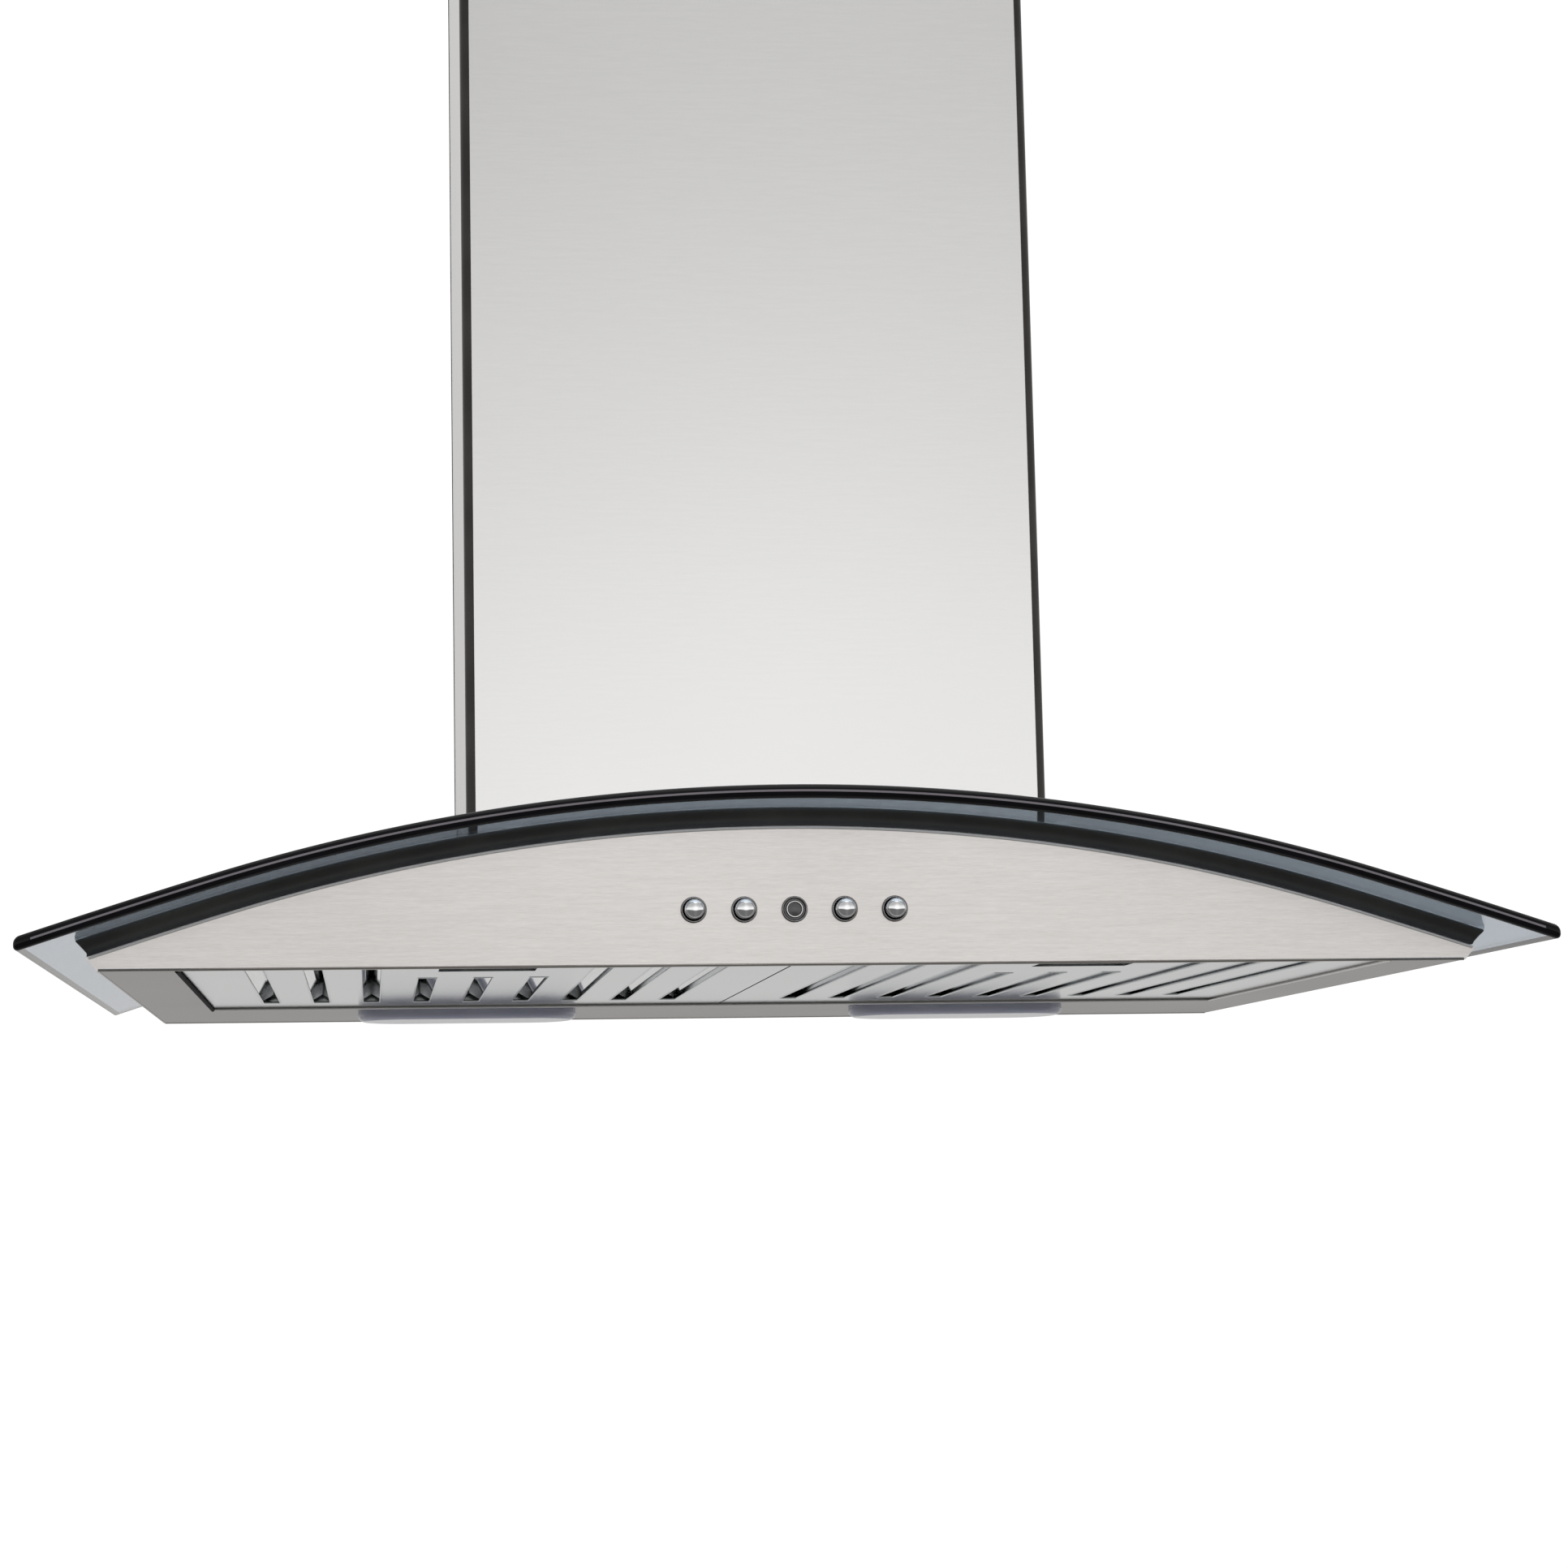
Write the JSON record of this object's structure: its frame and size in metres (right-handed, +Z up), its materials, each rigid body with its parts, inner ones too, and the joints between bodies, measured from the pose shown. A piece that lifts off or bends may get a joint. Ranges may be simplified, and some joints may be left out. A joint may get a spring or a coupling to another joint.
{
  "type": "island range hood",
  "caption": "Ceiling-hung range hood with an arched smoked-glass canopy, shallow steel body, push buttons, slotted baffle filters, lamps and a telescoping chimney.",
  "frame": {"origin": "centre of the ceiling plate's top face, in the middle of its four screw holes", "axes": "+Z up, -Y towards the side with the buttons, +X to the right of someone facing the buttons"},
  "size_m": [0.9, 0.65, 1.008],
  "materials": {
    "brushed_steel": "fine horizontal grain",
    "cover_steel": "satin",
    "corner_black": "dark satin",
    "smoked_glass": "smoked, polished edge",
    "black_rubber": "smooth matt",
    "galvanised_steel": "zinc coated",
    "chrome_caps": "polished",
    "pilot_smoke": "smoked",
    "lens_plastic": "translucent, bluish",
    "filter_steel": "bright rolled",
    "black_plastic": "moulded",
    "pale_plastic": "moulded",
    "motor_paint": "satin",
    "can_aluminium": "drawn",
    "bulb_glass": "frosted",
    "screw_steel": "zinc coated"
  },
  "bodies": {
    "hood": {"blower_box": "galvanised_steel", "blower_box_lid": "galvanised_steel", "blower_housing_front": "black_plastic", "blower_housing_rear": "black_plastic", "bottom_frame": "brushed_steel", "cable_gland": "black_plastic", "capacitor": "can_aluminium", "ceiling_plate": "galvanised_steel", "chimney_corner_trims": "corner_black", "chimney_cover_front": "cover_steel", "chimney_cover_rear": "cover_steel", "clamp_pads": "black_rubber", "control_bezels": "chrome_caps", "damper_pin": "screw_steel", "duct_collar": "galvanised_steel", "flange_screws": "screw_steel", "frame_screws": "screw_steel", "front_panel": "brushed_steel", "front_seal": "black_rubber", "glass_canopy": "smoked_glass", "glass_clamp_left": "galvanised_steel", "glass_clamp_right": "galvanised_steel", "lamp_bulb_left": "bulb_glass", "lamp_bulb_right": "bulb_glass", "lamp_housing_left": "galvanised_steel", "lamp_housing_right": "galvanised_steel", "lamp_lens_left": "lens_plastic", "lamp_lens_right": "lens_plastic", "lamp_socket_left": "black_plastic", "lamp_socket_right": "black_plastic", "lower_posts": "galvanised_steel", "motor": "motor_paint", "motor_bracket": "galvanised_steel", "outlet_transition": "galvanised_steel", "pilot_lens": "pilot_smoke", "rear_panel": "brushed_steel", "rear_seal": "black_rubber", "side_seal_left": "black_rubber", "side_seal_right": "black_rubber", "side_wall_left": "brushed_steel", "side_wall_right": "brushed_steel", "switch_block": "black_plastic", "terminal_box": "black_plastic", "top_deck": "galvanised_steel", "upper_posts": "galvanised_steel"},
    "light_button": {"light_button": "chrome_caps"},
    "low_speed_button": {"low_speed_button": "chrome_caps"},
    "medium_speed_button": {"medium_speed_button": "chrome_caps"},
    "high_speed_button": {"high_speed_button": "chrome_caps"},
    "filter_left": {"filter_face_left": "filter_steel", "filter_baffles_left": "filter_steel"},
    "filter_right": {"filter_face_right": "filter_steel", "filter_baffles_right": "filter_steel"},
    "latch_left": {"filter_latch_left": "filter_steel"},
    "latch_right": {"filter_latch_right": "filter_steel"},
    "upper_cover": {"chimney_cover_upper": "cover_steel"},
    "blower_wheel": {"impeller": "pale_plastic", "motor_shaft": "screw_steel"},
    "damper_left": {"damper_flap_left": "galvanised_steel"},
    "damper_right": {"damper_flap_right": "galvanised_steel"}
  },
  "joints": [
    {"name": "light_button_press", "type": "slide", "parent": "hood", "child": "light_button", "axis": [0, 1, 0], "range_m": [0, 0.003], "stiffness_N_per_m": 400, "springref_m": -0.002},
    {"name": "low_speed_button_press", "type": "slide", "parent": "hood", "child": "low_speed_button", "axis": [0, 1, 0], "range_m": [0, 0.003], "stiffness_N_per_m": 400, "springref_m": -0.002},
    {"name": "medium_speed_button_press", "type": "slide", "parent": "hood", "child": "medium_speed_button", "axis": [0, 1, 0], "range_m": [0, 0.003], "stiffness_N_per_m": 400, "springref_m": -0.002},
    {"name": "high_speed_button_press", "type": "slide", "parent": "hood", "child": "high_speed_button", "axis": [0, 1, 0], "range_m": [0, 0.003], "stiffness_N_per_m": 400, "springref_m": -0.002},
    {"name": "filter_left_tilt", "type": "hinge", "parent": "hood", "child": "filter_left", "pos_m": [-0.1804, 0.11, -0.999], "axis": [1, 0, 0], "range_deg": [0, 70]},
    {"name": "latch_left_slide", "type": "slide", "parent": "filter_left", "child": "latch_left", "axis": [0, 1, 0], "range_m": [0, 0.006], "stiffness_N_per_m": 200, "springref_m": -0.003},
    {"name": "filter_right_tilt", "type": "hinge", "parent": "hood", "child": "filter_right", "pos_m": [0.1804, 0.11, -0.999], "axis": [1, 0, 0], "range_deg": [0, 70]},
    {"name": "latch_right_slide", "type": "slide", "parent": "filter_right", "child": "latch_right", "axis": [0, 1, 0], "range_m": [0, 0.006], "stiffness_N_per_m": 200, "springref_m": -0.003},
    {"name": "upper_cover_slide", "type": "slide", "parent": "hood", "child": "upper_cover", "axis": [0, 0, -1], "range_m": [0, 0.22]},
    {"name": "blower_wheel_spin", "type": "hinge", "parent": "hood", "child": "blower_wheel", "pos_m": [-0.045, 0, -0.775], "axis": [0, 1, 0], "continuous": true},
    {"name": "damper_left_swing", "type": "hinge", "parent": "hood", "child": "damper_left", "pos_m": [0, 0, -0.575], "axis": [0, 1, 0], "range_deg": [0, 80]},
    {"name": "damper_right_swing", "type": "hinge", "parent": "hood", "child": "damper_right", "pos_m": [0, 0, -0.575], "axis": [0, -1, 0], "range_deg": [0, 80]}
  ]
}
